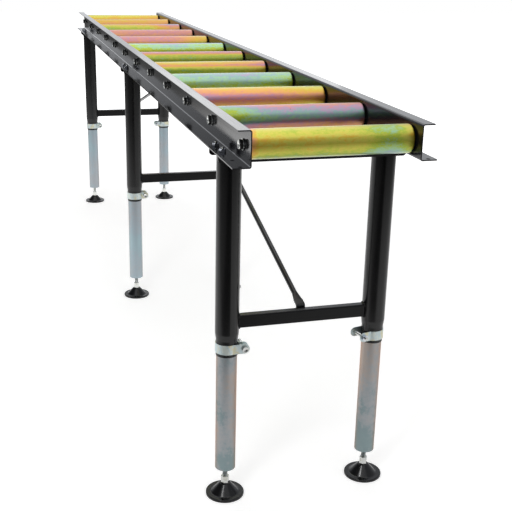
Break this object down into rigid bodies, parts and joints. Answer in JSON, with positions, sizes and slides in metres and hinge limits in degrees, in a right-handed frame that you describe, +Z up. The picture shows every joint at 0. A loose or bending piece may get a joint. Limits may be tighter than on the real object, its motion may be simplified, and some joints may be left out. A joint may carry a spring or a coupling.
{
  "type": "roller conveyor",
  "caption": "Gravity roller conveyor: folded steel side rails, free-turning plated rollers, clamped telescopic legs with levelling feet, and diagonal braces.",
  "frame": {"origin": "on the floor under the middle of the bed", "axes": "+X along the bed towards the end nearest in the picture, +Y along the rollers, +Z up"},
  "size_m": [3, 0.44, 0.9],
  "materials": {
    "rail_paint": "anthracite stove enamel, glossy, on folded steel",
    "leg_paint": "black powder coat, satin, on steel tube and sheet",
    "yellow_zinc": "zinc plate with iridescent yellow passivation on steel tube",
    "cap_black": "black moulded bearing housing",
    "axle_steel": "bright drawn steel bar",
    "clear_zinc": "blue-clear zinc plate on steel tube and strip",
    "bolt_zinc": "bright zinc plate on steel fasteners",
    "pad_black": "glossy black moulded nylon"
  },
  "bodies": {
    "frame": {"left_rail": "rail_paint", "right_rail": "rail_paint", "roller_axles": "axle_steel", "axle_bolts": "bolt_zinc", "axle_washers": "bolt_zinc", "near_leg_head": "leg_paint", "middle_leg_head": "leg_paint", "far_leg_head": "leg_paint", "near_leg_frame": "leg_paint", "middle_leg_frame": "leg_paint", "far_leg_frame": "leg_paint", "clamp_bands": "clear_zinc", "clamp_bolts": "bolt_zinc", "head_bolts": "bolt_zinc", "near_brace": "leg_paint", "far_brace": "leg_paint", "brace_bolts": "bolt_zinc", "bolt_nuts": "bolt_zinc"},
    "roller_01": {"roller_tube_01": "yellow_zinc", "roller_caps_01": "cap_black"},
    "roller_02": {"roller_tube_02": "yellow_zinc", "roller_caps_02": "cap_black"},
    "roller_03": {"roller_tube_03": "yellow_zinc", "roller_caps_03": "cap_black"},
    "roller_04": {"roller_tube_04": "yellow_zinc", "roller_caps_04": "cap_black"},
    "roller_05": {"roller_tube_05": "yellow_zinc", "roller_caps_05": "cap_black"},
    "roller_06": {"roller_tube_06": "yellow_zinc", "roller_caps_06": "cap_black"},
    "roller_07": {"roller_tube_07": "yellow_zinc", "roller_caps_07": "cap_black"},
    "roller_08": {"roller_tube_08": "yellow_zinc", "roller_caps_08": "cap_black"},
    "roller_09": {"roller_tube_09": "yellow_zinc", "roller_caps_09": "cap_black"},
    "roller_10": {"roller_tube_10": "yellow_zinc", "roller_caps_10": "cap_black"},
    "roller_11": {"roller_tube_11": "yellow_zinc", "roller_caps_11": "cap_black"},
    "roller_12": {"roller_tube_12": "yellow_zinc", "roller_caps_12": "cap_black"},
    "near_left_leg": {"near_left_inner_leg": "clear_zinc"},
    "near_left_foot": {"near_left_spindle": "bolt_zinc", "near_left_foot_pad": "pad_black"},
    "near_right_leg": {"near_right_inner_leg": "clear_zinc"},
    "near_right_foot": {"near_right_spindle": "bolt_zinc", "near_right_foot_pad": "pad_black"},
    "middle_left_leg": {"middle_left_inner_leg": "clear_zinc"},
    "middle_left_foot": {"middle_left_spindle": "bolt_zinc", "middle_left_foot_pad": "pad_black"},
    "middle_right_leg": {"middle_right_inner_leg": "clear_zinc"},
    "middle_right_foot": {"middle_right_spindle": "bolt_zinc", "middle_right_foot_pad": "pad_black"},
    "far_left_leg": {"far_left_inner_leg": "clear_zinc"},
    "far_left_foot": {"far_left_spindle": "bolt_zinc", "far_left_foot_pad": "pad_black"},
    "far_right_leg": {"far_right_inner_leg": "clear_zinc"},
    "far_right_foot": {"far_right_spindle": "bolt_zinc", "far_right_foot_pad": "pad_black"}
  },
  "joints": [
    {"name": "roller_01_spin", "type": "hinge", "parent": "frame", "child": "roller_01", "pos_m": [1.4465, 0, 0.8615], "axis": [0, 1, 0], "continuous": true},
    {"name": "roller_02_spin", "type": "hinge", "parent": "frame", "child": "roller_02", "pos_m": [1.1835, 0, 0.8615], "axis": [0, 1, 0], "continuous": true},
    {"name": "roller_03_spin", "type": "hinge", "parent": "frame", "child": "roller_03", "pos_m": [0.9205, 0, 0.8615], "axis": [0, 1, 0], "continuous": true},
    {"name": "roller_04_spin", "type": "hinge", "parent": "frame", "child": "roller_04", "pos_m": [0.6575, 0, 0.8615], "axis": [0, 1, 0], "continuous": true},
    {"name": "roller_05_spin", "type": "hinge", "parent": "frame", "child": "roller_05", "pos_m": [0.3945, 0, 0.8615], "axis": [0, 1, 0], "continuous": true},
    {"name": "roller_06_spin", "type": "hinge", "parent": "frame", "child": "roller_06", "pos_m": [0.1315, 0, 0.8615], "axis": [0, 1, 0], "continuous": true},
    {"name": "roller_07_spin", "type": "hinge", "parent": "frame", "child": "roller_07", "pos_m": [-0.1315, 0, 0.8615], "axis": [0, 1, 0], "continuous": true},
    {"name": "roller_08_spin", "type": "hinge", "parent": "frame", "child": "roller_08", "pos_m": [-0.3945, 0, 0.8615], "axis": [0, 1, 0], "continuous": true},
    {"name": "roller_09_spin", "type": "hinge", "parent": "frame", "child": "roller_09", "pos_m": [-0.6575, 0, 0.8615], "axis": [0, 1, 0], "continuous": true},
    {"name": "roller_10_spin", "type": "hinge", "parent": "frame", "child": "roller_10", "pos_m": [-0.9205, 0, 0.8615], "axis": [0, 1, 0], "continuous": true},
    {"name": "roller_11_spin", "type": "hinge", "parent": "frame", "child": "roller_11", "pos_m": [-1.1835, 0, 0.8615], "axis": [0, 1, 0], "continuous": true},
    {"name": "roller_12_spin", "type": "hinge", "parent": "frame", "child": "roller_12", "pos_m": [-1.4465, 0, 0.8615], "axis": [0, 1, 0], "continuous": true},
    {"name": "near_left_leg_slide", "type": "slide", "parent": "frame", "child": "near_left_leg", "axis": [0, 0, 1], "range_m": [-0.08, 0.27]},
    {"name": "near_left_foot_screw", "type": "slide", "parent": "near_left_leg", "child": "near_left_foot", "axis": [0, 0, 1], "range_m": [-0.04, 0.02]},
    {"name": "near_right_leg_slide", "type": "slide", "parent": "frame", "child": "near_right_leg", "axis": [0, 0, 1], "range_m": [-0.08, 0.27]},
    {"name": "near_right_foot_screw", "type": "slide", "parent": "near_right_leg", "child": "near_right_foot", "axis": [0, 0, 1], "range_m": [-0.04, 0.02]},
    {"name": "middle_left_leg_slide", "type": "slide", "parent": "frame", "child": "middle_left_leg", "axis": [0, 0, 1], "range_m": [-0.08, 0.27]},
    {"name": "middle_left_foot_screw", "type": "slide", "parent": "middle_left_leg", "child": "middle_left_foot", "axis": [0, 0, 1], "range_m": [-0.04, 0.02]},
    {"name": "middle_right_leg_slide", "type": "slide", "parent": "frame", "child": "middle_right_leg", "axis": [0, 0, 1], "range_m": [-0.08, 0.27]},
    {"name": "middle_right_foot_screw", "type": "slide", "parent": "middle_right_leg", "child": "middle_right_foot", "axis": [0, 0, 1], "range_m": [-0.04, 0.02]},
    {"name": "far_left_leg_slide", "type": "slide", "parent": "frame", "child": "far_left_leg", "axis": [0, 0, 1], "range_m": [-0.08, 0.27]},
    {"name": "far_left_foot_screw", "type": "slide", "parent": "far_left_leg", "child": "far_left_foot", "axis": [0, 0, 1], "range_m": [-0.04, 0.02]},
    {"name": "far_right_leg_slide", "type": "slide", "parent": "frame", "child": "far_right_leg", "axis": [0, 0, 1], "range_m": [-0.08, 0.27]},
    {"name": "far_right_foot_screw", "type": "slide", "parent": "far_right_leg", "child": "far_right_foot", "axis": [0, 0, 1], "range_m": [-0.04, 0.02]}
  ]
}
